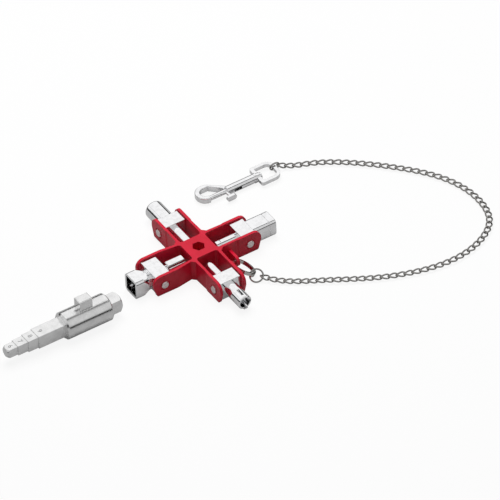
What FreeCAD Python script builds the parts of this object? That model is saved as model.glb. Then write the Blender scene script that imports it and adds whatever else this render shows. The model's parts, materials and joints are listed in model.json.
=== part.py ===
import FreeCAD, Part
import math
import os
import Sketcher

doc = FreeCAD.newDocument("multi_utility_key")

# Driving dimensions in millimetres and degrees
DIMENSIONS = {
    "body_height": 14.0,
    "fork_width": 17.8,
    "fork_wall": 1.8,
    "wide_fork_width": 20.6,
    "hub_half": 8.5,
    "arm_reach": 37.4,
    "nose_reach": 35.3,
    "nose_height": 7.0,
    "nose_top_radius": 5.0,
    "nose_foot_radius": 1.2,
    "waist_start": 11.0,
    "waist_end": 21.0,
    "waist_relief": 0.35,
    "slot_radius": 1.6,
    "hex_flats": 6.8,
    "rivet_reach": 29.9,
    "rivet_height": 6.6,
    "rivet_radius": 1.6,
    "rivet_head_radius": 2.4,
    "rivet_head_rise": 0.7,
    "rivet_head_round": 0.6,
    "seat_radius": 3.2,
    "seat_depth": 0.4,
    "pivot_clearance": 0.05,
    "block_gap": 0.15,
    "block_height": 12.6,
    "block_length": 9.2,
    "wide_block_length": 10.0,
    "wide_block_gap": 0.2,
    "block_round": 0.4,
    "inner_reach": 18.7,
    "large_reach": 17.0,
    "large_square": 13.0,
    "large_socket": 9.8,
    "large_round": 2.8,
    "large_base_radius": 6.3,
    "large_taper": 4.6,
    "socket_depth": 9.0,
    "collar_disc": 0.55,
    "collar_gap": 0.35,
    "collar_cut": 0.5,
    "sleeve_radius": 5.5,
    "sleeve_bore": 3.1,
    "sleeve_depth": 10.0,
    "neck_radius": 3.5,
    "neck_length": 2.3,
    "neck_pin_radius": 1.0,
    "neck_pin_length": 9.4,
    "sleeve_slot_width": 1.3,
    "sleeve_slot_angle": 35.0,
    "tube_reach": 20.0,
    "tube_radius": 4.5,
    "tube_bore": 3.3,
    "tube_depth": 12.0,
    "tube_slot_width": 1.6,
    "tube_slot_length": 5.6,
    "tube_slot_margin": 2.2,
    "tongue_length": 0.8,
    "tongue_width": 2.6,
    "notch_width": 1.3,
    "notch_reach": 3.9,
    "notch_depth": 3.0,
    "thin_end_radius": 3.5,
    "thin_end_square": 3.6,
    "small_reach": 20.2,
    "small_square": 11.7,
    "small_socket": 8.1,
    "small_round": 2.6,
    "small_groove_place": 4.6,
    "groove_width": 0.5,
    "groove_depth": 0.35,
    "small_end_radius": 4.0,
    "small_end_square": 5.1,
    "small_end_groove": 3.0,
    "round_reach": 20.3,
    "round_radius": 5.8,
    "round_triangle": 5.2,
    "round_mouth_round": 1.6,
    "round_end_radius": 4.25,
    "round_end_triangle": 3.6,
    "end_depth": 6.0,
    "end_chamfer": 0.4,
    "eye_x": 15.7,
    "eye_y": 15.4,
    "eye_height": 6.0,
    "eye_width": 1.8,
    "eye_radius": 3.5,
    "eye_hole": 2.15,
    "split_radius": 7.2,
    "split_wire_width": 1.3,
    "split_wire_height": 0.95,
    "split_gap": 0.1,
    "split_heading": -85.4,
    "split_fall": 5.2,
    "split_roll": -32.2,
    "jump_radius": 4.0,
    "jump_wire": 0.5,
    "jump_x": 20.1,
    "jump_y": -30.5,
    "jump_z": 3.0,
    "jump_heading": 228.3,
    "jump_tilt": 36.0,
    "chain_pitch": 4.7,
    "chain_width": 4.6,
    "chain_wire": 0.52,
    "chain_slack": 0.12,
    "chain_twist": 90.0,
    "chain_height": 1.85,
    "end_link_width": 5.6,
    "end_link_slack": 0.8,
    "end_link_across": 2.1,
    "end_link_length": 7.4,
    "snap_x": 45.3,
    "snap_y": 41.6,
    "snap_z": 3.1,
    "snap_heading": 0.0,
    "loop_length": 17.9,
    "loop_near": 1.8,
    "loop_far": 10.7,
    "loop_band": 3.0,
    "loop_height": 4.0,
    "loop_shoulder": 8.9,
    "loop_throat": 1.2,
    "loop_outer_round": 6.0,
    "loop_inner_round": 3.0,
    "loop_edge": 0.7,
    "mouth_length": 11.7,
    "mouth_over": 0.01,
    "barrel_length": 20.2,
    "barrel_radius": 2.75,
    "barrel_bore": 15.2,
    "barrel_slot": 9.3,
    "gate_radius": 1.5,
    "gate_tail": 5.0,
    "gate_gap": 0.2,
    "gate_clearance": 0.05,
    "gate_chamfer": 0.3,
    "knob_length": 6.4,
    "knob_height": 3.6,
    "knob_reach": 6.5,
    "knob_thickness": 1.6,
    "knob_stem": 0.9,
    "knob_foot": 0.55,
    "knob_place": -0.4,
    "spring_radius": 1.1,
    "spring_wire": 0.22,
    "spring_coils": 6.0,
    "swivel_gap": 0.2,
    "swivel_collar": 3.05,
    "swivel_collar_length": 1.2,
    "swivel_pin_radius": 1.1,
    "swivel_head_radius": 1.9,
    "swivel_head_length": 1.0,
    "swivel_pin_depth": 2.6,
    "ring_width": 15.2,
    "ring_length": 14.6,
    "ring_base": 2.4,
    "ring_wire": 2.0,
    "ring_height": 2.4,
    "ring_boss": 2.4,
    "ring_outer_round": 5.5,
    "ring_base_round": 1.4,
    "bit_x": -60.5,
    "bit_y": -8.2,
    "bit_shank": 9.0,
    "bit_shank_length": 7.8,
    "bit_bar_length": 18.3,
    "bit_step": 1.0,
    "bit_step_length": 6.8,
    "bit_edge": 0.3,
    "bit_end_bevel": 1.6,
    "bit_sleeve_radius": 8.5,
    "bit_sleeve_length": 31.4,
    "bit_sleeve_chamfer": 1.1,
    "lug_length": 8.6,
    "lug_width": 6.3,
    "lug_height": 6.4,
    "lug_place": 11.7,
    "lug_seat": 1.2,
    "lug_chamfer": 0.5,
}

# Where the chain lies on the floor, from the jump ring round to the swivel ring
CHAIN_ROUTE = (
    (28, -39), (49.5, -54.5), (73.5, -69), (99.5, -80), (123.5, -83.5), (143.5, -79),
    (158.5, -67), (163, -51), (157.5, -23), (141.5, 0), (121.5, 20), (99.5, 35), (89.5, 39.5),
)

# The way in which the chain leaves the middle of the jump ring
CHAIN_START_WAY = (1, -0.9, 0)

# A bevel on a square bar reaches just past its corner, as a share of half its side
PAST_CORNER = 1.42

CHAIN_SEGMENTS = 8
CHAIN_SIDES = 6
RING_SEGMENTS = 18

sheet = doc.addObject("Spreadsheet::Sheet", "dims")
for row, (alias, value) in enumerate(DIMENSIONS.items(), start=1):
    sheet.set(f"A{row}", alias)
    sheet.set(f"B{row}", str(value))
    sheet.setAlias(f"B{row}", alias)
doc.recompute()

parts = []


def size(alias):
    """Return one driving dimension as a number."""
    return float(sheet.get(alias))


def keep(item, label, place=None, turn=None):
    """Name a finished sub-part, bind its place and keep it for export."""
    item.Label = label
    if turn is not None:
        item.Placement = FreeCAD.Placement(FreeCAD.Vector(), FreeCAD.Rotation(turn, 0, 0))
    if place is not None:
        for axis, expression in zip("xyz", place):
            item.setExpression(f".Placement.Base.{axis}", expression)
    parts.append(item)
    return item


def new_body(name):
    """Start a PartDesign body."""
    return doc.addObject("PartDesign::Body", name)


def plane_of(body, role):
    """Return one origin plane of a body."""
    planes = [item for item in body.Origin.OriginFeatures if item.Role == role]
    return planes[0]


def new_sketch(body, role, offset=None):
    """Attach an empty sketch to an origin plane, with an optional offset along its normal."""
    sketch = body.newObject("Sketcher::SketchObject", "Sketch")
    sketch.AttachmentSupport = (plane_of(body, role), [""])
    sketch.MapMode = "FlatFace"
    if offset is not None:
        sketch.setExpression(".AttachmentOffset.Base.z", offset)
    return sketch


def add_outline(sketch, corners):
    """Draw a closed outline whose corners are pairs of expressions."""
    count = len(corners)
    first = sketch.GeometryCount
    for index in range(count):
        here = 2 * math.pi * index / count
        there = 2 * math.pi * (index + 1) / count
        start = FreeCAD.Vector(math.cos(here), math.sin(here), 0)
        end = FreeCAD.Vector(math.cos(there), math.sin(there), 0)
        sketch.addGeometry(Part.LineSegment(start, end), False)
    for index in range(count):
        after = first + (index + 1) % count
        sketch.addConstraint(Sketcher.Constraint("Coincident", first + index, 2, after, 1))
    for index, (across, up) in enumerate(corners):
        for kind, expression in (("DistanceX", across), ("DistanceY", up)):
            number = sketch.addConstraint(
                Sketcher.Constraint(kind, -1, 1, first + index, 1, index + 1.0))
            sketch.setExpression(f"Constraints[{number}]", expression)


def add_rectangle(sketch, low, high):
    """Draw a rectangle between two corners given as pairs of expressions."""
    corners = (low, (high[0], low[1]), high, (low[0], high[1]))
    add_outline(sketch, corners)


def add_circle(sketch, across, up, radius):
    """Draw a circle with its centre and radius bound to expressions."""
    circle = Part.Circle(FreeCAD.Vector(1, 1, 0), FreeCAD.Vector(0, 0, 1), 1)
    number = sketch.addGeometry(circle, False)
    rows = (("DistanceX", across), ("DistanceY", up))
    for kind, expression in rows:
        row = sketch.addConstraint(Sketcher.Constraint(kind, -1, 1, number, 3, 1.0))
        sketch.setExpression(f"Constraints[{row}]", expression)
    row = sketch.addConstraint(Sketcher.Constraint("Radius", number, 1.0))
    sketch.setExpression(f"Constraints[{row}]", radius)


def add_rounded_square(sketch, half, radius):
    """Draw a square with round corners about the origin."""
    first = sketch.GeometryCount
    flat = 1.0
    curve = 0.4
    for quarter in range(4):
        turn = FreeCAD.Rotation(90.0 * quarter, 0, 0)
        start = turn.multVec(FreeCAD.Vector(curve - flat, -flat, 0))
        end = turn.multVec(FreeCAD.Vector(flat - curve, -flat, 0))
        sketch.addGeometry(Part.LineSegment(start, end), False)
        centre = turn.multVec(FreeCAD.Vector(flat - curve, curve - flat, 0))
        circle = Part.Circle(centre, FreeCAD.Vector(0, 0, 1), curve)
        angle = math.pi / 2 * quarter
        sketch.addGeometry(Part.ArcOfCircle(circle, angle - math.pi / 2, angle), False)
    for quarter in range(4):
        line = first + 2 * quarter
        after = first + (2 * quarter + 2) % 8
        sketch.addConstraint(Sketcher.Constraint("Tangent", line, 2, line + 1, 1))
        sketch.addConstraint(Sketcher.Constraint("Tangent", line + 1, 2, after, 1))
        level = quarter % 2 == 0
        sketch.addConstraint(Sketcher.Constraint("Horizontal" if level else "Vertical", line))
        kind = "DistanceY" if level else "DistanceX"
        sign = "-" if quarter in (0, 3) else ""
        row = sketch.addConstraint(Sketcher.Constraint(kind, -1, 1, line, 1, -1.0 if sign else 1.0))
        sketch.setExpression(f"Constraints[{row}]", f"{sign}({half})")
        if quarter:
            sketch.addConstraint(Sketcher.Constraint("Equal", first + 1, line + 1))
    row = sketch.addConstraint(Sketcher.Constraint("Radius", first + 1, curve))
    sketch.setExpression(f"Constraints[{row}]", radius)


def add_polygon(sketch, across_flats, sides, turn):
    """Draw a regular polygon round the origin, sized across its flats or from flat to centre."""
    corners = []
    for index in range(sides):
        angle = turn + 360.0 * index / sides
        reach = f"({across_flats}) / cos({180.0 / sides}) / 2"
        corners.append((f"{reach} * cos({angle})", f"{reach} * sin({angle})"))
    add_outline(sketch, corners)


def pad(body, sketch, length, both_ways=False, reverse=False):
    """Pad a sketch by an expression."""
    feature = body.newObject("PartDesign::Pad", "Pad")
    feature.Profile = sketch
    feature.setExpression("Length", length)
    feature.Midplane = both_ways
    feature.Reversed = reverse
    doc.recompute()
    return feature


def pocket(body, sketch, length=None, both_ways=False, reverse=False):
    """Cut a sketch out, through everything unless a length is given."""
    feature = body.newObject("PartDesign::Pocket", "Pocket")
    feature.Profile = sketch
    if length is None:
        feature.Type = "ThroughAll"
    else:
        feature.setExpression("Length", length)
    feature.Midplane = both_ways
    feature.Reversed = reverse
    doc.recompute()
    return feature


def edges_where(feature, test):
    """Name the edges of a feature whose end points pass a test."""
    names = []
    for index, edge in enumerate(feature.Shape.Edges, start=1):
        ends = [vertex.Point for vertex in edge.Vertexes]
        if len(ends) == 2 and test(ends[0], ends[1]):
            names.append(f"Edge{index}")
    return names


def dress(body, kind, base, names, **sizes):
    """Add a fillet or chamfer on named edges of the last feature."""
    feature = body.newObject(f"PartDesign::{kind}", kind)
    feature.Base = (base, names)
    for name, expression in sizes.items():
        feature.setExpression(name, expression)
    doc.recompute()
    return feature


def near(first, second):
    """Tell whether two lengths agree."""
    return abs(first - second) < 0.01


def upright(start, end):
    """Tell whether an edge is vertical."""
    return near(start.x, end.x) and near(start.y, end.y) and not near(start.z, end.z)


# The cast cross

def build_cross_body():
    """Cast cross: four forks round a hub, with a hexagonal hole and an eye for the ring."""
    body = new_body("CrossBody")
    half = "dims.fork_width / 2"
    wide = "dims.wide_fork_width / 2"
    waist = "(dims.fork_width / 2 - dims.waist_relief)"
    reach = "dims.arm_reach"
    start = "dims.waist_start"
    end = "dims.waist_end"

    outline = new_sketch(body, "XY_Plane")
    corners = []
    for across, up in ((1, -1), (1, 1)):
        sign = "-" if up < 0 else ""
        stretch = [(start, half), (end, waist), (f"{end} + dims.waist_relief * 4", half), (reach, half)]
        if up > 0:
            stretch.reverse()
        corners += [(x, f"{sign}({y})") for x, y in stretch]
    for sign_x in ("", "-"):
        stretch = [(half, start), (waist, end), (half, f"{end} + dims.waist_relief * 4"), (half, reach)]
        if sign_x:
            stretch.reverse()
        corners += [(f"{sign_x}({x})", y) for x, y in stretch]
    stretch = [(start, half), (end, wide), (reach, wide)]
    corners += [(f"-({x})", y) for x, y in stretch]
    corners += [(f"-({x})", f"-({y})") for x, y in reversed(stretch)]
    for sign_x in ("-", ""):
        stretch = [(half, start), (waist, end), (half, f"{end} + dims.waist_relief * 4"), (half, reach)]
        if not sign_x:
            stretch.reverse()
        corners += [(f"{sign_x}({x})", f"-({y})") for x, y in stretch]
    add_outline(outline, corners)
    block = pad(body, outline, "dims.body_height")

    slots = new_sketch(body, "XY_Plane")
    gap = "(dims.fork_width / 2 - dims.fork_wall)"
    wide_gap = "(dims.wide_fork_width / 2 - dims.fork_wall)"
    beyond = "dims.arm_reach + 1"
    hub = "dims.hub_half"
    add_rectangle(slots, (hub, f"-{gap}"), (beyond, gap))
    add_rectangle(slots, (f"-{gap}", hub), (gap, beyond))
    add_rectangle(slots, (f"-{gap}", f"-({beyond})"), (gap, f"-{hub}"))
    add_outline(slots, (
        (f"-{hub}", f"-{gap}"), (f"-{hub}", gap), (f"-{end}", wide_gap),
        (f"-({beyond})", wide_gap), (f"-({beyond})", f"-{wide_gap}"), (f"-{end}", f"-{wide_gap}")))
    slotted = pocket(body, slots, both_ways=True)

    hexagon = new_sketch(body, "XY_Plane")
    add_polygon(hexagon, "dims.hex_flats", 6, 0.0)
    holed = pocket(body, hexagon, both_ways=True)

    for role in ("XZ_Plane", "YZ_Plane"):
        feet = new_sketch(body, role)
        for sign in ("", "-"):
            add_outline(feet, (
                (f"{sign}(dims.nose_reach - 2)", "-1"), (f"{sign}(dims.arm_reach + 1)", "-1"),
                (f"{sign}(dims.arm_reach + 1)", "dims.nose_height"),
                (f"{sign}dims.arm_reach", "dims.nose_height"),
                (f"{sign}dims.nose_reach", "0"), (f"{sign}(dims.nose_reach - 2)", "0")))
        holed = pocket(body, feet, both_ways=True)

    top = size("body_height")
    tip = size("arm_reach")

    def is_crown(first, second):
        level = near(first.z, top) and near(second.z, top)
        at_x = near(abs(first.x), tip) and near(abs(second.x), tip)
        at_y = near(abs(first.y), tip) and near(abs(second.y), tip)
        return level and (at_x or at_y)

    crowned = dress(body, "Fillet", holed, edges_where(holed, is_crown), Radius="dims.nose_top_radius")
    foot = size("nose_reach")

    def is_foot(first, second):
        level = near(first.z, 0) and near(second.z, 0)
        at_x = near(abs(first.x), foot) and near(abs(second.x), foot)
        at_y = near(abs(first.y), foot) and near(abs(second.y), foot)
        return level and (at_x or at_y)

    footed = dress(body, "Fillet", crowned, edges_where(crowned, is_foot), Radius="dims.nose_foot_radius")
    hub_size = size("hub_half")

    def is_slot_corner(first, second):
        inner = near(max(abs(first.x), abs(first.y)), hub_size)
        return upright(first, second) and inner

    rounded = dress(body, "Fillet", footed, edges_where(footed, is_slot_corner), Radius="dims.slot_radius")

    rivets = new_sketch(body, "XZ_Plane")
    add_circle(rivets, "dims.rivet_reach", "dims.rivet_height", "dims.rivet_radius")
    add_circle(rivets, "-dims.rivet_reach", "dims.rivet_height", "dims.rivet_radius")
    pocket(body, rivets, both_ways=True)
    rivets = new_sketch(body, "YZ_Plane")
    add_circle(rivets, "dims.rivet_reach", "dims.rivet_height", "dims.rivet_radius")
    add_circle(rivets, "-dims.rivet_reach", "dims.rivet_height", "dims.rivet_radius")
    pocket(body, rivets, both_ways=True)

    seats = (
        ("XZ_Plane", "dims.rivet_reach", half), ("XZ_Plane", "-dims.rivet_reach", wide),
        ("YZ_Plane", "dims.rivet_reach", half), ("YZ_Plane", "-dims.rivet_reach", half))
    for role, place, face in seats:
        for sign, reverse in (("", True), ("-", False)):
            seat = new_sketch(body, role, f"{sign}({face} - dims.seat_depth)")
            add_circle(seat, place, "dims.rivet_height", "dims.seat_radius")
            pocket(body, seat, "dims.seat_depth + 1", reverse=reverse)

    eye = new_sketch(body, "YZ_Plane", "dims.eye_x - dims.eye_width / 2")
    tip = "dims.eye_y + dims.eye_radius"
    add_rectangle(
        eye, (f"-({tip})", "dims.eye_height - dims.eye_radius"),
        (f"-({half} - dims.fork_wall / 2)", "dims.eye_height + dims.eye_radius"))
    lug = pad(body, eye, "dims.eye_width")
    tip_place = -size("eye_y") - size("eye_radius")

    def is_tip(first, second):
        return near(first.y, tip_place) and near(second.y, tip_place) and near(first.z, second.z)

    names = edges_where(lug, is_tip)
    dress(body, "Fillet", lug, names, Radius="dims.eye_radius * 0.98")
    hole = new_sketch(body, "YZ_Plane", "dims.eye_x - dims.eye_width")
    add_circle(hole, "-dims.eye_y", "dims.eye_height", "dims.eye_hole")
    pocket(body, hole, "dims.eye_width * 2", reverse=True)
    return body


cross = keep(build_cross_body(), "cross_body")


# Working ends in their own frames: pivot at the origin, X outward, Z up

def is_at(edge, place):
    """Tell whether an edge lies in the plane across X at a place."""
    box = edge.BoundBox
    return near(box.XMin, place) and near(box.XMax, place)


def edges_at(feature, place, least=0.0, most=100.0):
    """Name the edges across X at a place, with half-heights between two limits."""
    names = []
    for index, edge in enumerate(feature.Shape.Edges, start=1):
        if is_at(edge, place) and least < edge.BoundBox.ZMax < most:
            names.append(f"Edge{index}")
    return names


def add_block(body, width, length):
    """Pad the pivot block with rounded edges."""
    sketch = new_sketch(body, "XZ_Plane")
    add_rectangle(
        sketch, (f"-{length} / 2", "-dims.block_height / 2"), (f"{length} / 2", "dims.block_height / 2"))
    block = pad(body, sketch, width, both_ways=True)
    names = edges_where(block, lambda first, second: True)
    return dress(body, "Fillet", block, names, Radius="dims.block_round")


def add_turned(body, corners):
    """Revolve an outline of places along X and radii round the X axis."""
    sketch = new_sketch(body, "XZ_Plane")
    add_outline(sketch, corners)
    feature = body.newObject("PartDesign::Revolution", "Revolution")
    feature.Profile = sketch
    feature.ReferenceAxis = (sketch, ["H_Axis"])
    feature.Angle = 360.0
    doc.recompute()
    return feature


def cut_turned(body, corners):
    """Cut a turned outline away round the X axis."""
    sketch = new_sketch(body, "XZ_Plane")
    add_outline(sketch, corners)
    feature = body.newObject("PartDesign::Groove", "Groove")
    feature.Profile = sketch
    feature.ReferenceAxis = (sketch, ["H_Axis"])
    feature.Angle = 360.0
    doc.recompute()
    return feature


def add_square(body, start, length, side, corner):
    """Pad a square bar with round corners along X."""
    sketch = new_sketch(body, "YZ_Plane", start)
    add_rounded_square(sketch, f"({side}) / 2", corner)
    return pad(body, sketch, length)


def cut_profile(body, place, depth, flats, sides, turn, inward=False):
    """Cut a regular socket into an end, along -X unless it is the inner end."""
    sketch = new_sketch(body, "YZ_Plane", place)
    add_polygon(sketch, flats, sides, turn)
    return pocket(body, sketch, depth, reverse=inward)


def cut_pivot(body):
    """Bore the pivot block for its rivet."""
    sketch = new_sketch(body, "XZ_Plane")
    add_circle(sketch, "0", "0", "dims.rivet_radius + dims.pivot_clearance")
    return pocket(body, sketch, both_ways=True)


def build_square_key():
    """Large square socket with collars, and a slotted sleeve at the inner end."""
    body = new_body("SquareKey")
    width = "(dims.wide_fork_width - 2 * dims.fork_wall - 2 * dims.wide_block_gap)"
    add_block(body, width, "dims.wide_block_length")
    face = "dims.wide_block_length / 2"
    disc = "dims.collar_disc"
    gap = "dims.collar_gap"
    radius = "dims.large_base_radius"
    low = f"({radius} - dims.collar_cut)"
    corners = [(f"{face} - 1", "0"), (f"{face} - 1", low)]
    for index in range(3):
        near_edge = f"{face} + {index} * ({disc} + {gap}) + {gap}"
        far_edge = f"{face} + {index + 1} * ({disc} + {gap})"
        corners += [(near_edge, low), (near_edge, radius), (far_edge, radius), (far_edge, low)]
    corners[-1] = (f"{face} + 3 * ({disc} + {gap})", "0")
    add_turned(body, corners)
    base = f"({face} + 3 * ({disc} + {gap}))"
    add_square(body, base, f"dims.large_reach - {base}", "dims.large_square", "dims.large_round")
    cut_turned(body, (
        (base, radius), (f"{base} + dims.large_taper", "dims.large_square / 2 * 1.28"),
        (f"{base} + dims.large_taper", "dims.large_square"), (base, "dims.large_square")))
    cut_profile(body, "dims.large_reach", "dims.socket_depth", "dims.large_socket", 4, 45)
    neck = f"-({face} + dims.neck_length)"
    add_turned(body, (
        (neck, "0"), (neck, "dims.neck_radius"),
        (f"-({face} - 1)", "dims.neck_radius"), (f"-({face} - 1)", "0")))
    chamfer = "dims.end_chamfer"
    add_turned(body, (
        ("-dims.inner_reach", "0"), ("-dims.inner_reach", f"dims.sleeve_radius - {chamfer}"),
        (f"-dims.inner_reach + {chamfer}", "dims.sleeve_radius"),
        (f"{neck} - {chamfer}", "dims.sleeve_radius"),
        (neck, f"dims.sleeve_radius - {chamfer}"), (neck, "0")))
    bore = new_sketch(body, "YZ_Plane", "-dims.inner_reach")
    add_circle(bore, "0", "0", "dims.sleeve_bore")
    pocket(body, bore, "dims.sleeve_depth", reverse=True)
    slot = new_sketch(body, "YZ_Plane", "-dims.inner_reach")
    half = "dims.sleeve_slot_width / 2"
    angle = "dims.sleeve_slot_angle"
    reach = "(dims.sleeve_radius + 1)"
    corners = []
    for across, along in ((-1, -1), (1, -1), (1, 1), (-1, 1)):
        corners.append((
            f"{across} * {half} * cos({angle}) + {along} * {reach} * sin({angle})",
            f"{along} * {reach} * cos({angle}) - {across} * {half} * sin({angle})"))
    add_outline(slot, corners)
    pocket(body, slot, f"dims.inner_reach + {neck} + 0.1 * {half}", reverse=True)
    hole = new_sketch(body, "XZ_Plane")
    add_circle(hole, f"-({face} + dims.neck_length / 2)", "0", "dims.neck_pin_radius")
    pocket(body, hole, both_ways=True)
    cut_pivot(body)
    return body


def build_double_bit_key():
    """Slotted tube with a driving tongue, and a thinner inner end."""
    body = new_body("DoubleBitKey")
    add_block(body, "(dims.fork_width - 2 * dims.fork_wall - 2 * dims.block_gap)", "dims.block_length")
    face = "dims.block_length / 2"
    chamfer = "dims.end_chamfer"
    add_turned(body, (
        (f"{face} - 1", "0"), (f"{face} - 1", "dims.tube_radius"),
        (f"dims.tube_reach - {chamfer}", "dims.tube_radius"),
        ("dims.tube_reach", f"dims.tube_radius - {chamfer}"), ("dims.tube_reach", "0")))
    bore = new_sketch(body, "YZ_Plane", "dims.tube_reach")
    add_circle(bore, "0", "0", "dims.tube_bore")
    pocket(body, bore, "dims.tube_depth")
    slot = new_sketch(body, "XY_Plane")
    far = "dims.tube_reach - dims.tube_slot_margin"
    add_rectangle(
        slot,
        (f"{far} - dims.tube_slot_length", "-dims.tube_slot_width / 2"),
        (far, "dims.tube_slot_width / 2"))
    pocket(body, slot, "dims.tube_radius + 1", reverse=True)
    notch = new_sketch(body, "YZ_Plane", "dims.tube_reach")
    add_rectangle(
        notch,
        ("dims.notch_reach / 2", "-dims.notch_width / 2"),
        ("dims.notch_reach", "dims.notch_width / 2"))
    pocket(body, notch, "dims.notch_depth")
    tongue = new_sketch(body, "YZ_Plane", "dims.tube_reach - 1")
    inner = "(dims.tube_bore + 0.1)"
    outer = "(dims.tube_radius - 0.3)"
    add_rectangle(
        tongue, ("-dims.tongue_width / 2", f"-{outer}"), ("dims.tongue_width / 2", f"-{inner}"))
    pad(body, tongue, "dims.tongue_length + 1")
    add_turned(body, (
        ("-dims.inner_reach", "0"), ("-dims.inner_reach", f"dims.thin_end_radius - {chamfer}"),
        (f"-dims.inner_reach + {chamfer}", "dims.thin_end_radius"),
        (f"-({face} - 1)", "dims.thin_end_radius"), (f"-({face} - 1)", "0")))
    cut_profile(body, "-dims.inner_reach", "dims.end_depth", "dims.thin_end_square", 4, 45, inward=True)
    cut_pivot(body)
    return body


def build_small_square_key():
    """Small square socket with a ring groove, and a round inner end with a square recess."""
    body = new_body("SmallSquareKey")
    add_block(body, "(dims.fork_width - 2 * dims.fork_wall - 2 * dims.block_gap)", "dims.block_length")
    face = "dims.block_length / 2"
    groove = "(dims.small_reach - dims.small_groove_place)"
    add_square(body, f"{face} - 1", f"{groove} - {face} + 1", "dims.small_square", "dims.small_round")
    add_square(body, groove, "dims.groove_width", "dims.small_square - 2 * dims.groove_depth",
               "dims.small_round - dims.groove_depth")
    end = add_square(
        body, f"{groove} + dims.groove_width", "dims.small_groove_place - dims.groove_width",
        "dims.small_square", "dims.small_round")
    names = edges_at(end, size("small_reach"))
    dress(body, "Chamfer", end, names, Size="dims.end_chamfer")
    cut_profile(body, "dims.small_reach", "dims.socket_depth", "dims.small_socket", 4, 45)
    chamfer = "dims.end_chamfer"
    ring = "(-dims.inner_reach + dims.small_end_groove)"
    low = "dims.small_end_radius - dims.groove_depth"
    add_turned(body, (
        ("-dims.inner_reach", "0"), ("-dims.inner_reach", f"dims.small_end_radius - {chamfer}"),
        (f"-dims.inner_reach + {chamfer}", "dims.small_end_radius"), (ring, "dims.small_end_radius"),
        (ring, low), (f"{ring} + dims.groove_width", low),
        (f"{ring} + dims.groove_width", "dims.small_end_radius"),
        (f"-({face} - 1)", "dims.small_end_radius"), (f"-({face} - 1)", "0")))
    cut_profile(body, "-dims.inner_reach", "dims.end_depth", "dims.small_end_square", 4, 45, inward=True)
    cut_pivot(body)
    return body


def build_triangle_key():
    """Round triangular socket with a rounded mouth, and a round inner end."""
    body = new_body("TriangleKey")
    add_block(body, "(dims.fork_width - 2 * dims.fork_wall - 2 * dims.block_gap)", "dims.block_length")
    face = "dims.block_length / 2"
    chamfer = "dims.end_chamfer"
    tube = add_turned(body, (
        (f"{face} - 1", "0"), (f"{face} - 1", "dims.round_radius"),
        ("dims.round_reach", "dims.round_radius"), ("dims.round_reach", "0")))
    names = edges_at(tube, size("round_reach"))
    dress(body, "Fillet", tube, names, Radius="dims.round_mouth_round")
    cut_profile(body, "dims.round_reach", "dims.socket_depth", "dims.round_triangle", 3, 90)
    add_turned(body, (
        ("-dims.inner_reach", "0"), ("-dims.inner_reach", f"dims.round_end_radius - {chamfer}"),
        (f"-dims.inner_reach + {chamfer}", "dims.round_end_radius"),
        (f"-({face} - 1)", "dims.round_end_radius"), (f"-({face} - 1)", "0")))
    cut_profile(body, "-dims.inner_reach", "dims.end_depth", "dims.round_end_triangle", 3, 90, inward=True)
    cut_pivot(body)
    return body


REACH = "dims.rivet_reach"
LEVEL = "dims.rivet_height"
keep(build_square_key(), "square_key", (f"-{REACH}", "0", LEVEL), 180)
keep(build_double_bit_key(), "double_bit_key", ("0", f"-{REACH}", LEVEL), -90)
keep(build_small_square_key(), "small_square_key", (REACH, "0", LEVEL), 0)
keep(build_triangle_key(), "triangle_key", ("0", REACH, LEVEL), 90)


# Rivets and the small cross pin, turned round the Y axis

def build_rivet(name, width):
    """Rivet with a rounded head in the round recess of each wall."""
    body = new_body(name)
    seat = f"({width} / 2 - dims.seat_depth)"
    top = f"({width} / 2 + dims.rivet_head_rise)"
    sketch = new_sketch(body, "XY_Plane")
    add_outline(sketch, (
        ("0", f"-{top}"), ("dims.rivet_head_radius", f"-{top}"), ("dims.rivet_head_radius", f"-{seat}"),
        ("dims.rivet_radius", f"-{seat}"), ("dims.rivet_radius", seat), ("dims.rivet_head_radius", seat),
        ("dims.rivet_head_radius", top), ("0", top)))
    feature = body.newObject("PartDesign::Revolution", "Revolution")
    feature.Profile = sketch
    feature.ReferenceAxis = (sketch, ["V_Axis"])
    feature.Angle = 360.0
    doc.recompute()
    crown = feature.Shape.BoundBox.YMax
    names = []
    for index, edge in enumerate(feature.Shape.Edges, start=1):
        box = edge.BoundBox
        if near(box.YMin, box.YMax) and near(abs(box.YMax), crown):
            names.append(f"Edge{index}")
    dress(body, "Fillet", feature, names, Radius="dims.rivet_head_round")
    return body


keep(build_rivet("RivetSquare", "dims.wide_fork_width"), "rivet_square", (f"-{REACH}", "0", LEVEL), 180)
keep(build_rivet("RivetDoubleBit", "dims.fork_width"), "rivet_double_bit", ("0", f"-{REACH}", LEVEL), -90)
keep(build_rivet("RivetSmallSquare", "dims.fork_width"), "rivet_small_square", (REACH, "0", LEVEL), 0)
keep(build_rivet("RivetTriangle", "dims.fork_width"), "rivet_triangle", ("0", REACH, LEVEL), 90)


def build_neck_pin():
    """Cross pin through the neck of the large key, with rounded ends."""
    body = new_body("SquareKeyPin")
    sketch = new_sketch(body, "XZ_Plane")
    add_circle(sketch, "0", "0", "dims.neck_pin_radius")
    pin = pad(body, sketch, "dims.neck_pin_length", both_ways=True)
    names = [f"Edge{index}" for index, edge in enumerate(pin.Shape.Edges, start=1)
             if len(edge.Vertexes) == 1]
    dress(body, "Fillet", pin, names, Radius="dims.neck_pin_radius * 0.7")
    return body


PIN_PLACE = "(dims.rivet_reach - dims.wide_block_length / 2 - dims.neck_length / 2)"
keep(build_neck_pin(), "square_key_pin", (f"-{PIN_PLACE}", "0", LEVEL), 180)


# The bit with its sleeve and lug, lying beside the cross: X runs towards the small steps

BIT_PLACE = ("dims.bit_x", "dims.bit_y", "dims.bit_sleeve_radius")


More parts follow.
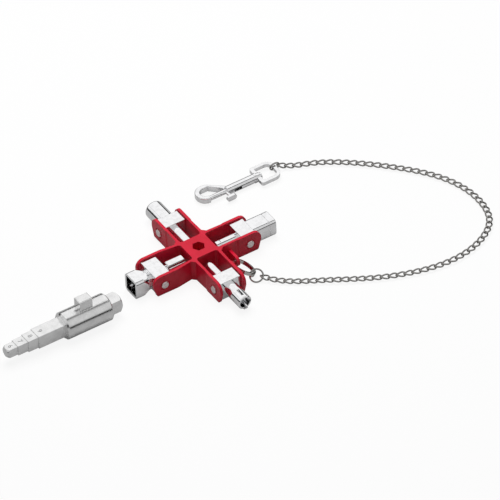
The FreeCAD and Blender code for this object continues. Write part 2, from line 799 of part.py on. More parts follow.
def build_stepped_bit():
    """Square bar that steps down from nine to six millimetres."""
    body = new_body("SteppedBit")
    bar = "(dims.bit_shank_length + dims.bit_sleeve_length + dims.bit_bar_length)"
    add_square(body, "0", bar, "dims.bit_shank", "dims.bit_edge")
    for index in range(1, 4):
        sketch = new_sketch(body, "YZ_Plane", f"{bar} + {index - 1} * dims.bit_step_length")
        add_rounded_square(sketch, f"(dims.bit_shank - {index} * dims.bit_step) / 2", "dims.bit_edge")
        pad(body, sketch, "dims.bit_step_length")
    half = "dims.bit_shank / 2"
    corner = f"{half} * {PAST_CORNER}"
    cut_turned(body, (("0", half), ("dims.bit_end_bevel", corner), ("0", corner)))
    half = "(dims.bit_shank - 3 * dims.bit_step) / 2"
    corner = f"{half} * {PAST_CORNER}"
    tip = f"({bar} + 3 * dims.bit_step_length)"
    cut_turned(body, ((tip, half), (tip, corner), (f"{tip} - dims.bit_end_bevel", corner)))
    return body


def build_bit_sleeve():
    """Round sleeve on the bar, with a seat for the lug on top."""
    body = new_body("BitSleeve")
    start = "dims.bit_shank_length"
    end = "(dims.bit_shank_length + dims.bit_sleeve_length)"
    radius = "dims.bit_sleeve_radius"
    chamfer = "dims.bit_sleeve_chamfer"
    add_turned(body, (
        (start, "0"), (start, f"{radius} - {chamfer}"), (f"{start} + {chamfer}", radius),
        (f"{end} - {chamfer}", radius), (end, f"{radius} - {chamfer}"), (end, "0")))
    sketch = new_sketch(body, "YZ_Plane")
    add_rounded_square(sketch, "dims.bit_shank / 2", "dims.bit_edge")
    pocket(body, sketch, f"{end} + 1", reverse=True)
    seat = new_sketch(body, "XY_Plane", f"{radius} - dims.lug_seat")
    low = f"{start} + dims.lug_place"
    add_rectangle(
        seat, (low, "-dims.lug_width / 2"), (f"{low} + dims.lug_length", "dims.lug_width / 2"))
    pocket(body, seat, "dims.lug_seat + 1", reverse=True)
    return body


def build_bit_lug():
    """Square lug standing on the sleeve."""
    body = new_body("BitLug")
    sketch = new_sketch(body, "XY_Plane", "dims.bit_sleeve_radius - dims.lug_seat")
    low = "dims.bit_shank_length + dims.lug_place"
    add_rectangle(
        sketch, (low, "-dims.lug_width / 2"), (f"{low} + dims.lug_length", "dims.lug_width / 2"))
    lug = pad(body, sketch, "dims.lug_height + dims.lug_seat")
    top = lug.Shape.BoundBox.ZMax
    names = edges_where(lug, lambda first, second: near(first.z, top) and near(second.z, top))
    dress(body, "Chamfer", lug, names, Size="dims.lug_chamfer")
    return body


keep(build_stepped_bit(), "stepped_bit", BIT_PLACE, 180)
keep(build_bit_sleeve(), "bit_sleeve", BIT_PLACE, 180)
keep(build_bit_lug(), "bit_lug", BIT_PLACE, 180)


# Rings and chain, lying beside the cross

def heading(angle, rise=0.0):
    """Return a unit vector at an angle round Z and a rise above the floor."""
    flat = math.cos(math.radians(rise))
    across = math.radians(angle)
    return FreeCAD.Vector(flat * math.cos(across), flat * math.sin(across), math.sin(math.radians(rise)))


def wire_solid(centres, normals, radius, sides):
    """Build a closed flat-faced wire through centre points, with one section at each."""
    count = len(centres)
    sections = []
    for index, centre in enumerate(centres):
        along = (centres[(index + 1) % count] - centres[index - 1]).normalize()
        out = normals[index] - along * along.dot(normals[index])
        out.normalize()
        side = along.cross(out)
        section = []
        for step in range(sides):
            angle = 2 * math.pi * step / sides
            section.append(centre + out * (radius * math.cos(angle)) + side * (radius * math.sin(angle)))
        sections.append(section)
    faces = []
    for index in range(count):
        here, there = sections[index], sections[(index + 1) % count]
        for step in range(sides):
            after = (step + 1) % sides
            first_half = (here[step], here[after], there[after])
            second_half = (here[step], there[after], there[step])
            for corners in (first_half, second_half):
                faces.append(Part.Face(Part.makePolygon(list(corners) + [corners[0]])))
    solid = Part.Solid(Part.Shell(faces))
    if solid.Volume < 0:
        solid.reverse()
    return solid


def link_solid(length, width, radius, twist):
    """Build one oval link along X; its ends are turned against each other by the twist."""
    long_half = length / 2 - radius
    wide_half = width / 2 - radius
    centres = []
    normals = []
    for index in range(CHAIN_SEGMENTS):
        angle = 2 * math.pi * (index + 0.5) / CHAIN_SEGMENTS
        along = math.cos(angle) / math.cos(math.pi / CHAIN_SEGMENTS)
        turn = math.radians(twist) / 2 * along
        across = wide_half * math.sin(angle) / math.cos(math.pi / CHAIN_SEGMENTS)
        centres.append(FreeCAD.Vector(long_half * along, across * math.cos(turn), across * math.sin(turn)))
        normals.append(FreeCAD.Vector(0, -math.sin(turn), math.cos(turn)))
    return wire_solid(centres, normals, radius, CHAIN_SIDES)


def link_frame(start, end, roll=0.0):
    """Return the placement of a link whose ends are at two points, rolled about its length."""
    along = (end - start).normalize()
    side = FreeCAD.Vector(0, 0, 1).cross(along).normalize()
    turn = FreeCAD.Rotation(along, side, along.cross(side), "XYZ")
    return FreeCAD.Placement((start + end) / 2, turn.multiply(FreeCAD.Rotation(0, 0, roll)))


eye = FreeCAD.Vector(size("eye_x"), -size("eye_y"), size("eye_height"))
split_along = heading(size("split_heading"), -size("split_fall"))
split_centre = eye + split_along * size("split_radius")


def build_split_ring():
    """Two flat turns of a key ring, through the eye of the cross."""
    mean = size("split_radius")
    width = size("split_wire_width")
    height = size("split_wire_height")
    pitch = height + size("split_gap")
    helix = Part.makeHelix(pitch, 2 * pitch, mean)
    half = width / 2
    corners = [
        FreeCAD.Vector(mean - half, 0, -height / 2), FreeCAD.Vector(mean + half, 0, -height / 2),
        FreeCAD.Vector(mean + half, 0, height / 2), FreeCAD.Vector(mean - half, 0, height / 2)]
    section = Part.makePolygon(corners + [corners[0]])
    ring = Part.Wire(helix.Edges).makePipeShell([section], True, True)
    ring.translate(FreeCAD.Vector(0, 0, -pitch))
    return ring


split_side = FreeCAD.Vector(0, 0, 1).cross(split_along).normalize()
split = doc.addObject("Part::Feature", "SplitRing")
split.Shape = build_split_ring()
split_turn = FreeCAD.Rotation(split_along, split_side, split_along.cross(split_side), "XYZ")
split_turn = split_turn.multiply(FreeCAD.Rotation(0, 0, size("split_roll")))
split.Placement = FreeCAD.Placement(split_centre, split_turn).multiply(split.Shape.Placement)
keep(split, "split_ring")

# The jump ring leans towards the front and holds the far side of the split ring
jump_up = heading(size("jump_heading"), 90 - size("jump_tilt"))
jump_centre = FreeCAD.Vector(size("jump_x"), size("jump_y"), size("jump_z"))
jump_turn = FreeCAD.Rotation(FreeCAD.Vector(0, 0, 1), jump_up)


def build_jump_ring():
    """Round wire ring in its own plane."""
    radius = size("jump_radius")
    centres = []
    for index in range(RING_SEGMENTS):
        angle = 2 * math.pi * index / RING_SEGMENTS
        centres.append(FreeCAD.Vector(radius * math.cos(angle), radius * math.sin(angle), 0))
    normals = [FreeCAD.Vector(0, 0, 1)] * RING_SEGMENTS
    return wire_solid(centres, normals, size("jump_wire"), CHAIN_SIDES)


jump = doc.addObject("Part::Feature", "JumpRing")
jump.Shape = build_jump_ring()
jump.Placement = FreeCAD.Placement(jump_centre, jump_turn)
keep(jump, "jump_ring")

# The snap hook lies in its own frame: X along the barrel away from the loop
snap_origin = FreeCAD.Vector(size("snap_x"), size("snap_y"), size("snap_z"))
snap_turn = FreeCAD.Rotation(size("snap_heading"), 0, 0)


def snap_point(along, across, up=0.0):
    """Return a point of the snap hook's frame in the common frame."""
    return snap_origin + snap_turn.multVec(FreeCAD.Vector(along, across, up))


def build_chain():
    """Curb chain from the jump ring to the swivel ring, ending in an upright link."""
    wire = size("chain_wire")
    slack = size("chain_slack")
    pitch = size("chain_pitch")
    inner = size("jump_radius") - size("jump_wire") - wire - slack
    towards = FreeCAD.Vector(*CHAIN_START_WAY)
    towards = (towards - jump_up * towards.dot(jump_up)).normalize()
    start = jump_centre + towards * inner
    far = size("barrel_length") + size("swivel_gap") + size("ring_length") - size("ring_wire") / 2
    bar = snap_point(far, size("end_link_across"))
    end_half = size("end_link_length") / 2 - wire
    end_start = bar - FreeCAD.Vector(size("ring_wire") / 2 + wire + size("end_link_slack"), 0, 0)
    end_far = end_start + FreeCAD.Vector(2 * end_half, 0, 0)
    height = size("chain_height")
    points = [start] + [FreeCAD.Vector(x, y, height) for x, y in CHAIN_ROUTE]
    points.append(end_far + FreeCAD.Vector(-2 * wire - slack, 0, 0))
    curve = Part.BSplineCurve()
    curve.interpolate(points)
    edge = curve.toShape()
    count = round(edge.Length / pitch)
    places = edge.discretize(Number=count + 1)
    length = edge.Length / count + 2 * wire + slack
    link = link_solid(length + 2 * wire, size("chain_width"), wire, size("chain_twist"))
    solids = []
    for first, second in zip(places, places[1:]):
        solid = link.copy()
        solid.Placement = link_frame(first, second)
        solids.append(solid)
    end_link = link_solid(size("end_link_length"), size("end_link_width"), wire, 0.0)
    end_link.Placement = link_frame(end_start, end_far, 90.0)
    solids.append(end_link)
    return Part.Compound(solids)


chain = doc.addObject("Part::Feature", "Chain")
chain.Shape = build_chain()
keep(chain, "chain")


# Snap hook, gate and swivel

SNAP_PLACE = ("dims.snap_x", "dims.snap_y", "dims.snap_z")
TURN = size("snap_heading")


def round_upright(body, feature, places, radius):
    """Fillet the upright edges of a flat shape that stand at given places."""
    def is_chosen(first, second):
        if not upright(first, second):
            return False
        return any(near(first.x, x) and near(first.y, y) for x, y in places)

    return dress(body, "Fillet", feature, edges_where(feature, is_chosen), Radius=radius)


def build_snap_hook():
    """Flat loop with an open mouth, and a barrel with a slot for the thumb knob."""
    body = new_body("SnapHook")
    near_side = "dims.loop_near"
    far_side = "dims.loop_far"
    length = "dims.loop_length"
    band = "dims.loop_band"
    outline = new_sketch(body, "XY_Plane")
    add_outline(outline, (
        (f"-{length}", f"-{near_side}"), ("1", f"-{near_side}"), ("1", "dims.barrel_radius"),
        ("-dims.loop_shoulder", far_side), (f"-{length}", far_side)))
    plate = pad(body, outline, "dims.loop_height", both_ways=True)
    far_x = size("loop_length")
    corners = [(-far_x, -size("loop_near")), (-far_x, size("loop_far")),
               (-size("loop_shoulder"), size("loop_far"))]
    plate = round_upright(body, plate, corners, "dims.loop_outer_round")
    inside = new_sketch(body, "XY_Plane")
    add_outline(inside, (
        (f"-({length} - {band})", f"{band} - {near_side}"), ("-dims.loop_throat", f"{band} - {near_side}"),
        ("-dims.loop_shoulder + dims.loop_throat", f"{far_side} - {band}"),
        (f"-({length} - {band})", f"{far_side} - {band}")))
    opened = pocket(body, inside, both_ways=True)
    inner_x = far_x - size("loop_band")
    corners = [
        (-inner_x, size("loop_band") - size("loop_near")),
        (-inner_x, size("loop_far") - size("loop_band"))]
    opened = round_upright(body, opened, corners, "dims.loop_inner_round")
    mouth = new_sketch(body, "XY_Plane")
    add_rectangle(
        mouth,
        ("-dims.mouth_length", f"-{near_side} - 1"),
        ("-dims.mouth_over", f"{band} - {near_side} + dims.mouth_over"))
    opened = pocket(body, mouth, both_ways=True)
    top = size("loop_height") / 2

    def is_rim(first, second):
        level = near(abs(first.z), top) and near(first.z, second.z)
        tip = near(first.x, second.x) and near(first.x, -size("mouth_length"))
        return level and not tip and max(first.x, second.x) < -size("mouth_length") + 0.01

    names = edges_where(opened, is_rim)
    dress(body, "Fillet", opened, names, Radius="dims.loop_edge")
    collar = "(dims.barrel_length - dims.swivel_collar_length)"
    add_turned(body, (
        ("0", "0"), ("0", "dims.barrel_radius"), (collar, "dims.barrel_radius"),
        (collar, "dims.swivel_collar"), ("dims.barrel_length", "dims.swivel_collar"),
        ("dims.barrel_length", "0")))
    bore = new_sketch(body, "YZ_Plane", "-2 * dims.loop_throat")
    add_circle(bore, "0", "0", "dims.gate_radius + dims.gate_clearance")
    pocket(body, bore, "dims.barrel_bore + 2 * dims.loop_throat", reverse=True)
    slot = new_sketch(body, "XZ_Plane")
    half = "(dims.knob_stem + dims.gate_clearance)"
    add_rectangle(slot, ("-1", f"-{half}"), ("dims.barrel_slot", half))
    pocket(body, slot, "dims.barrel_radius + 1", reverse=True)
    holder = new_sketch(body, "YZ_Plane", "dims.barrel_length")
    add_circle(holder, "0", "0", "dims.swivel_pin_radius")
    pocket(body, holder, "dims.swivel_pin_depth")
    return body


def build_swivel_pin():
    """Headed pin from the barrel's end through the base of the swivel ring."""
    body = new_body("SwivelPin")
    start = "(dims.barrel_length - dims.swivel_pin_depth)"
    inside = "(dims.barrel_length + 2 * dims.swivel_gap + dims.ring_base)"
    end = f"({inside} + dims.swivel_head_length)"
    add_turned(body, (
        (start, "0"), (start, "dims.swivel_pin_radius"), (inside, "dims.swivel_pin_radius"),
        (inside, "dims.swivel_head_radius"), (end, "dims.swivel_head_radius"), (end, "0")))
    return body


def build_swivel_ring():
    """Stirrup that turns on the swivel pin and holds the chain's end link."""
    body = new_body("SwivelRing")
    start = "(dims.barrel_length + dims.swivel_gap)"
    end = f"({start} + dims.ring_length)"
    half = "dims.ring_width / 2"
    outline = new_sketch(body, "XY_Plane")
    add_rectangle(outline, (start, f"-{half}"), (end, half))
    plate = pad(body, outline, "dims.ring_height", both_ways=True)
    low = size("barrel_length") + size("swivel_gap")
    high = low + size("ring_length")
    wide = size("ring_width") / 2
    plate = round_upright(body, plate, [(high, wide), (high, -wide)], "dims.ring_outer_round")
    plate = round_upright(body, plate, [(low, wide), (low, -wide)], "dims.ring_base_round")
    inside = new_sketch(body, "XY_Plane")
    wire = "dims.ring_wire"
    add_rectangle(
        inside,
        (f"{start} + dims.ring_base", f"-({half} - {wire})"),
        (f"{end} - {wire}", f"{half} - {wire}"))
    ring = pocket(body, inside, both_ways=True)
    thin = size("ring_wire")
    corners = [(high - thin, wide - thin), (high - thin, thin - wide)]
    round_upright(body, ring, corners, "dims.ring_outer_round - dims.ring_wire")
    add_turned(body, (
        (start, "0"), (start, "dims.ring_boss"), (f"{start} + dims.ring_base", "dims.ring_boss"),
        (f"{start} + dims.ring_base", "0")))
    hole = new_sketch(body, "YZ_Plane", start)
    add_circle(hole, "0", "0", "dims.swivel_pin_radius + dims.gate_clearance")
    pocket(body, hole, "dims.ring_base", reverse=True)
    return body


def build_gate_bolt():
    """Sliding bolt that closes the mouth of the loop."""
    body = new_body("GateBolt")
    tip = "-(dims.mouth_length - dims.gate_gap)"
    add_turned(body, (
        (tip, "0"), (tip, "dims.gate_radius - dims.gate_chamfer"),
        (f"{tip} + dims.gate_chamfer", "dims.gate_radius"),
        ("dims.gate_tail", "dims.gate_radius"), ("dims.gate_tail", "0")))
    hole = new_sketch(body, "XZ_Plane")
    add_circle(hole, "dims.knob_place", "0", "dims.knob_foot")
    pocket(body, hole, "dims.gate_radius + 1", reverse=True)
    return body


def build_gate_knob():
    """Thumb knob on a stem that stands in the bolt."""
    body = new_body("GateKnob")
    outer = "(dims.knob_reach + dims.knob_thickness / 2)"
    inner = "(dims.knob_reach - dims.knob_thickness / 2)"
    sketch = new_sketch(body, "XZ_Plane", inner)
    left = "(dims.knob_place - dims.knob_length / 2)"
    right = "(dims.knob_place + dims.knob_length / 2)"
    half = "dims.knob_height / 2"
    add_rectangle(sketch, (left, f"-{half}"), (right, half))
    knob = pad(body, sketch, "dims.knob_thickness")
    across = [f"Edge{index}" for index, edge in enumerate(knob.Shape.Edges, start=1)
              if near(edge.BoundBox.XLength, 0) and near(edge.BoundBox.ZLength, 0)]
    knob = dress(body, "Fillet", knob, across, Radius="dims.knob_height * 0.48")
    stem = new_sketch(body, "XZ_Plane", "dims.gate_radius")
    add_circle(stem, "dims.knob_place", "0", "dims.knob_stem")
    pad(body, stem, f"{inner} - dims.gate_radius")
    foot = new_sketch(body, "XZ_Plane", "dims.gate_clearance")
    add_circle(foot, "dims.knob_place", "0", "dims.knob_foot")
    pad(body, foot, "dims.gate_radius - dims.gate_clearance")
    return body


keep(build_swivel_ring(), "swivel_ring", SNAP_PLACE, TURN)
keep(build_swivel_pin(), "swivel_pin", SNAP_PLACE, TURN)
keep(build_snap_hook(), "snap_hook", SNAP_PLACE, TURN)
keep(build_gate_bolt(), "gate_bolt", SNAP_PLACE, TURN)
keep(build_gate_knob(), "gate_knob", SNAP_PLACE, TURN)


def build_gate_spring():
    """Coil spring behind the bolt, in the barrel."""
    wire = size("spring_wire")
    low = size("gate_tail") + wire
    high = size("barrel_bore") - wire
    coils = size("spring_coils")
    helix = Part.makeHelix((high - low) / coils, high - low, size("spring_radius"))
    section = Part.Wire(Part.makeCircle(
        wire, FreeCAD.Vector(size("spring_radius"), 0, 0), FreeCAD.Vector(0, 1, 0)))
    coil = Part.Wire(helix.Edges).makePipeShell([section], True, True)
    coil.rotate(FreeCAD.Vector(), FreeCAD.Vector(0, 1, 0), 90)
    coil.translate(FreeCAD.Vector(low, 0, 0))
    return coil


spring = doc.addObject("Part::Feature", "GateSpring")
spring.Shape = build_gate_spring()
spring.Placement = FreeCAD.Placement(snap_origin, snap_turn).multiply(spring.Shape.Placement)
keep(spring, "gate_spring")

doc.recompute()
for item in doc.Objects:
    if "Invalid" in item.State or "Error" in item.State:
        raise RuntimeError(f"{item.Label} did not rebuild")
os.makedirs("parts", exist_ok=True)
for item in parts:
    if item.Shape.isNull() or not item.Shape.isValid():
        raise RuntimeError(f"{item.Label} has no valid shape")
    item.Shape.exportStep(f"parts/{item.Label}.step")
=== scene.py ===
"""Dresses a cross-shaped multi utility key with its chain, snap hook and stepped bit.

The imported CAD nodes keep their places. This script gives each one the finish of
the real metal, replaces the flat-faced chain and jump ring with smooth wire, marks
the steps of the bit with their sizes, and sets up a small white studio.
"""

import json
import logging
import math
from dataclasses import dataclass, field
from enum import Enum
from typing import Any

import bmesh
import bpy
from mathutils import Matrix, Vector

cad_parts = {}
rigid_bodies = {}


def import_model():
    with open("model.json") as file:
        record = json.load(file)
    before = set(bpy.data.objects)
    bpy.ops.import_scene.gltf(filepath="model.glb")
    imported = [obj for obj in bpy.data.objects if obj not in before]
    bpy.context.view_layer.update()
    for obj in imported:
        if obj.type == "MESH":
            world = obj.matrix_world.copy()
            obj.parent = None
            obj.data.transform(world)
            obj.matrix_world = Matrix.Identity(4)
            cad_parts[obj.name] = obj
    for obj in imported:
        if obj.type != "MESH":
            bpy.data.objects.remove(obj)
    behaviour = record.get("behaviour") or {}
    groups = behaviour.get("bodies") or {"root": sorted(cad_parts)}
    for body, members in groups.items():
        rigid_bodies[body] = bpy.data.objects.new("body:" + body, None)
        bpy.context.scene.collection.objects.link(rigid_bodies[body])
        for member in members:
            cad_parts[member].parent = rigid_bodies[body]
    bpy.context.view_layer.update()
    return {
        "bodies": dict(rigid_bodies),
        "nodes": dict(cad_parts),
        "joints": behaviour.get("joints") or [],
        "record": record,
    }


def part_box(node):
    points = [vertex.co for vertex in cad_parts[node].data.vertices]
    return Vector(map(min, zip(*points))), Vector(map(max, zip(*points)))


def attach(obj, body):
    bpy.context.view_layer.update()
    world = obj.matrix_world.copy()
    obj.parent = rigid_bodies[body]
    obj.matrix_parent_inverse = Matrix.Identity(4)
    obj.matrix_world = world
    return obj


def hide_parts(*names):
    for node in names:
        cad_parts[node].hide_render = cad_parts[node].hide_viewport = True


LOG = logging.getLogger("utility_key")
MM = 0.001


class Slot(Enum):
    """Material slots of the record that the finishes stand for."""

    RED_PAINT = "red_paint"
    CHROME = "chrome"
    RIVET_STEEL = "rivet_steel"
    WIRE_NICKEL = "wire_nickel"
    SPRING_STEEL = "spring_steel"
    SATIN_STEEL = "satin_steel"


def linear(code: str) -> tuple[float, float, float, float]:
    """Turns an sRGB hex colour into linear light.

    Args:
        code: Six hex digits, such as "D8172F".

    Returns:
        Red, green, blue and an alpha of one.
    """
    levels = [int(code[place:place + 2], 16) / 255 for place in (0, 2, 4)]
    light = [
        level / 12.92 if level <= 0.04045 else ((level + 0.055) / 1.055) ** 2.4
        for level in levels
    ]
    return (light[0], light[1], light[2], 1.0)


def per_metre(size_mm: float) -> float:
    """Returns the texture scale whose features are a given number of millimetres apart."""
    return 1.0 / (size_mm * MM)


def add_node(
    tree: bpy.types.NodeTree,
    kind: str,
    settings: dict[Any, Any] | None = None,
    links: dict[Any, bpy.types.NodeSocket] | None = None,
) -> bpy.types.Node:
    """Adds one shader node with its settings and incoming links.

    Args:
        tree: Node tree that gets the node.
        kind: Blender's name for the kind of node.
        settings: Values by property name, or by the name or number of an input.
        links: Output sockets by the name or number of the input they feed.

    Returns:
        The new node.
    """
    node = tree.nodes.new(kind)
    for key, value in (settings or {}).items():
        if isinstance(key, str) and hasattr(node, key):
            setattr(node, key, value)
        else:
            node.inputs[key].default_value = value
    for key, source in (links or {}).items():
        tree.links.new(source, node.inputs[key])
    return node


def set_stops(ramp: bpy.types.Node, stops: list[tuple[float, tuple[float, ...]]]) -> None:
    """Gives a colour ramp its stops.

    Args:
        ramp: Colour ramp node.
        stops: Position and linear colour of each stop, in rising order.
    """
    elements = ramp.color_ramp.elements
    while len(elements) < len(stops):
        elements.new(1.0)
    for element, (place, colour) in zip(elements, stops):
        element.position = place
        element.color = colour


@dataclass(frozen=True)
class MetalFinish:
    """A plated or plain metal surface with grain and slight waves.

    Attributes:
        name: Name of the real finish.
        colour: Reflectance, as sRGB hex.
        roughness: Middle roughness of the surface.
        spread: How far the roughness changes across the surface.
        grain_mm: Spacing of the fine marks, along X, Y and Z.
        grain_depth_mm: Depth of those marks.
        wave_mm: Spacing of the slow waves left by casting and polishing.
        wave_depth_mm: Depth of the waves.
        edge_mm: Radius that plating leaves on sharp edges, or zero for none.
    """

    name: str
    colour: str
    roughness: float
    spread: float
    grain_mm: tuple[float, float, float]
    grain_depth_mm: float
    wave_mm: float
    wave_depth_mm: float
    edge_mm: float = 0.0

    def material(self) -> bpy.types.Material:
        """Builds the node material of this metal.

        Returns:
            The new material.
        """
        made = bpy.data.materials.new(self.name)
        made.use_nodes = True
        tree = made.node_tree
        shader = tree.nodes["Principled BSDF"]
        shader.inputs["Metallic"].default_value = 1.0
        place = add_node(tree, "ShaderNodeTexCoord")
        stretched = add_node(
            tree, "ShaderNodeMapping",
            {"Scale": tuple(per_metre(size) for size in self.grain_mm)},
            {"Vector": place.outputs["Object"]})
        grain = add_node(
            tree, "ShaderNodeTexNoise", {"Scale": 1.0, "Detail": 3.0},
            {"Vector": stretched.outputs["Vector"]})
        waves = add_node(
            tree, "ShaderNodeTexNoise", {"Scale": per_metre(self.wave_mm), "Detail": 2.0},
            {"Vector": place.outputs["Object"]})
        rough = add_node(
            tree, "ShaderNodeMapRange",
            {"To Min": self.roughness - self.spread, "To Max": self.roughness + self.spread},
            {"Value": grain.outputs["Fac"]})
        tree.links.new(rough.outputs["Result"], shader.inputs["Roughness"])
        tone = add_node(tree, "ShaderNodeValToRGB", None, {"Fac": waves.outputs["Fac"]})
        base = linear(self.colour)
        dull = tuple(part * 0.9 for part in base[:3]) + (1.0,)
        set_stops(tone, [(0.3, dull), (0.6, base)])
        tree.links.new(tone.outputs["Color"], shader.inputs["Base Color"])
        slow = add_node(
            tree, "ShaderNodeBump", {"Distance": self.wave_depth_mm * MM},
            {"Height": waves.outputs["Fac"]})
        fine = add_node(
            tree, "ShaderNodeBump", {"Distance": self.grain_depth_mm * MM},
            {"Height": grain.outputs["Fac"], "Normal": slow.outputs["Normal"]})
        if self.edge_mm > 0:
            edge = add_node(tree, "ShaderNodeBevel", {"samples": 4, "Radius": self.edge_mm * MM})
            tree.links.new(edge.outputs["Normal"], slow.inputs["Normal"])
        tree.links.new(fine.outputs["Normal"], shader.inputs["Normal"])
        return made


@dataclass(frozen=True)
class PowderCoat:
    """Glossy baked powder paint on a zinc casting.

    Attributes:
        name: Name of the real finish.
        colour: Paint colour, as sRGB hex.
        thin_colour: Colour where the coat is thinner, as sRGB hex.
        roughness: Roughness under the clear skin.
        paint_index: Refractive index of the paint.
        paint_gloss: Strength of the sheen of the paint itself, half being plain.
        skin: Weight of the clear skin.
        skin_roughness: Roughness of the clear skin.
        cloud_mm: Spacing of the slow change between thin and full coat.
        peel_mm: Spacing of the slight orange peel.
        peel_depth_mm: Depth of the orange peel.
        edge_mm: Radius that the coat leaves on sharp edges.
    """

    name: str = "glossy_red_powder_coat"
    colour: str = "E41C3C"
    thin_colour: str = "D81634"
    roughness: float = 0.38
    paint_index: float = 1.5
    paint_gloss: float = 0.25
    skin: float = 0.2
    skin_roughness: float = 0.14
    cloud_mm: float = 9.0
    peel_mm: float = 1.6
    peel_depth_mm: float = 0.02
    edge_mm: float = 0.3

    def material(self) -> bpy.types.Material:
        """Builds the paint: an even red with a clear glossy skin over a slight orange peel.

        Returns:
            The new material.
        """
        made = bpy.data.materials.new(self.name)
        made.use_nodes = True
        tree = made.node_tree
        shader = tree.nodes["Principled BSDF"]
        shader.inputs["Roughness"].default_value = self.roughness
        shader.inputs["IOR"].default_value = self.paint_index
        shader.inputs["Specular IOR Level"].default_value = self.paint_gloss
        shader.inputs["Coat Weight"].default_value = self.skin
        shader.inputs["Coat Roughness"].default_value = self.skin_roughness
        place = add_node(tree, "ShaderNodeTexCoord")
        peel = add_node(
            tree, "ShaderNodeTexNoise", {"Scale": per_metre(self.peel_mm), "Detail": 2.0},
            {"Vector": place.outputs["Object"]})
        cloud = add_node(
            tree, "ShaderNodeTexNoise", {"Scale": per_metre(self.cloud_mm), "Detail": 1.0},
            {"Vector": place.outputs["Object"]})
        tone = add_node(tree, "ShaderNodeValToRGB", None, {"Fac": cloud.outputs["Fac"]})
        set_stops(tone, [(0.35, linear(self.thin_colour)), (0.6, linear(self.colour))])
        tree.links.new(tone.outputs["Color"], shader.inputs["Base Color"])
        edge = add_node(tree, "ShaderNodeBevel", {"samples": 4, "Radius": self.edge_mm * MM})
        bump = add_node(
            tree, "ShaderNodeBump", {"Distance": self.peel_depth_mm * MM},
            {"Height": peel.outputs["Fac"], "Normal": edge.outputs["Normal"]})
        tree.links.new(bump.outputs["Normal"], shader.inputs["Normal"])
        tree.links.new(bump.outputs["Normal"], shader.inputs["Coat Normal"])
        return made


# Bright chrome mirrors the white studio, so it shows hard black and white bands,
# and the cast blanks under it leave slow waves that break the bands up a little.
CHROME = MetalFinish(
    "bright_chrome_plate", "F6F6F7", 0.07, 0.03, (0.5, 0.5, 0.5), 0.001, 2.2, 0.012, 0.2)
# Riveted steel heads are dull and even, with the light marks of the rivet set.
RIVET = MetalFinish(
    "plain_rivet_steel", "E6DCDB", 0.36, 0.06, (0.35, 0.35, 0.35), 0.004, 1.2, 0.006)
# Nickel wire is a little darker than chrome. Its colour is painted darker still, as painted shade for
# the shadow among the tight links, so the thin round links keep strong contrast.
WIRE = MetalFinish(
    "nickel_wire_with_painted_shade", "A19F9C", 0.16, 0.05, (0.4, 0.4, 0.4), 0.002, 1.5, 0.004)
# The split ring is the same nickel without the painted shade of the chain, so it is brighter.
RING = MetalFinish(
    "bright_nickel_ring", "D2D0CC", 0.12, 0.04, (0.4, 0.4, 0.4), 0.001, 1.5, 0.004)
# Drawn spring wire has fine lines and a grey sheen.
SPRING = MetalFinish(
    "drawn_spring_wire", "A4A4A6", 0.3, 0.05, (0.3, 0.3, 0.3), 0.002, 1.0, 0.002)
# Satin nickel has fine lines along the bar that soften what it mirrors. They are
# drawn a few tenths of a millimetre wide, coarser than real ones, so that they show.
SATIN = MetalFinish(
    "satin_nickel_plate", "EDEDED", 0.2, 0.04, (3.0, 0.25, 0.25), 0.0015, 4.0, 0.006, 0.25)
# The size marks are rolled into the satin steel and hold grey oxide.
MARK = MetalFinish(
    "grey_rolled_mark", "8F8F90", 0.45, 0.05, (0.3, 0.3, 0.3), 0.002, 1.0, 0.002)


def dress(frame: dict[str, Any], names: tuple[str, ...], finish: bpy.types.Material) -> None:
    """Gives a finish to CAD nodes.

    Args:
        frame: The loaded frame.
        names: Names of the nodes.
        finish: Material that every slot of each node gets.
    """
    for name in names:
        for slot in frame["nodes"][name].material_slots:
            slot.material = finish
        LOG.info("dressed %s in %s", name, finish.name)


@dataclass
class CrossHandle:
    """The red cross with its four rivets."""

    body: tuple[str, ...] = ("cross_body",)
    rivets: tuple[str, ...] = (
        "rivet_square", "rivet_double_bit", "rivet_small_square", "rivet_triangle")

    def build(self, frame: dict[str, Any]) -> None:
        """Dresses the cross and its rivets.

        Args:
            frame: The loaded frame.
        """
        dress(frame, self.body, PowderCoat().material())
        dress(frame, self.rivets, RIVET.material())


@dataclass
class SocketKeys:
    """The four chromed keys that turn in the forks."""

    keys: tuple[str, ...] = (
        "square_key", "square_key_pin", "double_bit_key", "small_square_key", "triangle_key")

    def build(self, frame: dict[str, Any], chrome: bpy.types.Material) -> None:
        """Dresses the keys.

        Args:
            frame: The loaded frame.
            chrome: The chrome that the keys and the hook share.
        """
        dress(frame, self.keys, chrome)


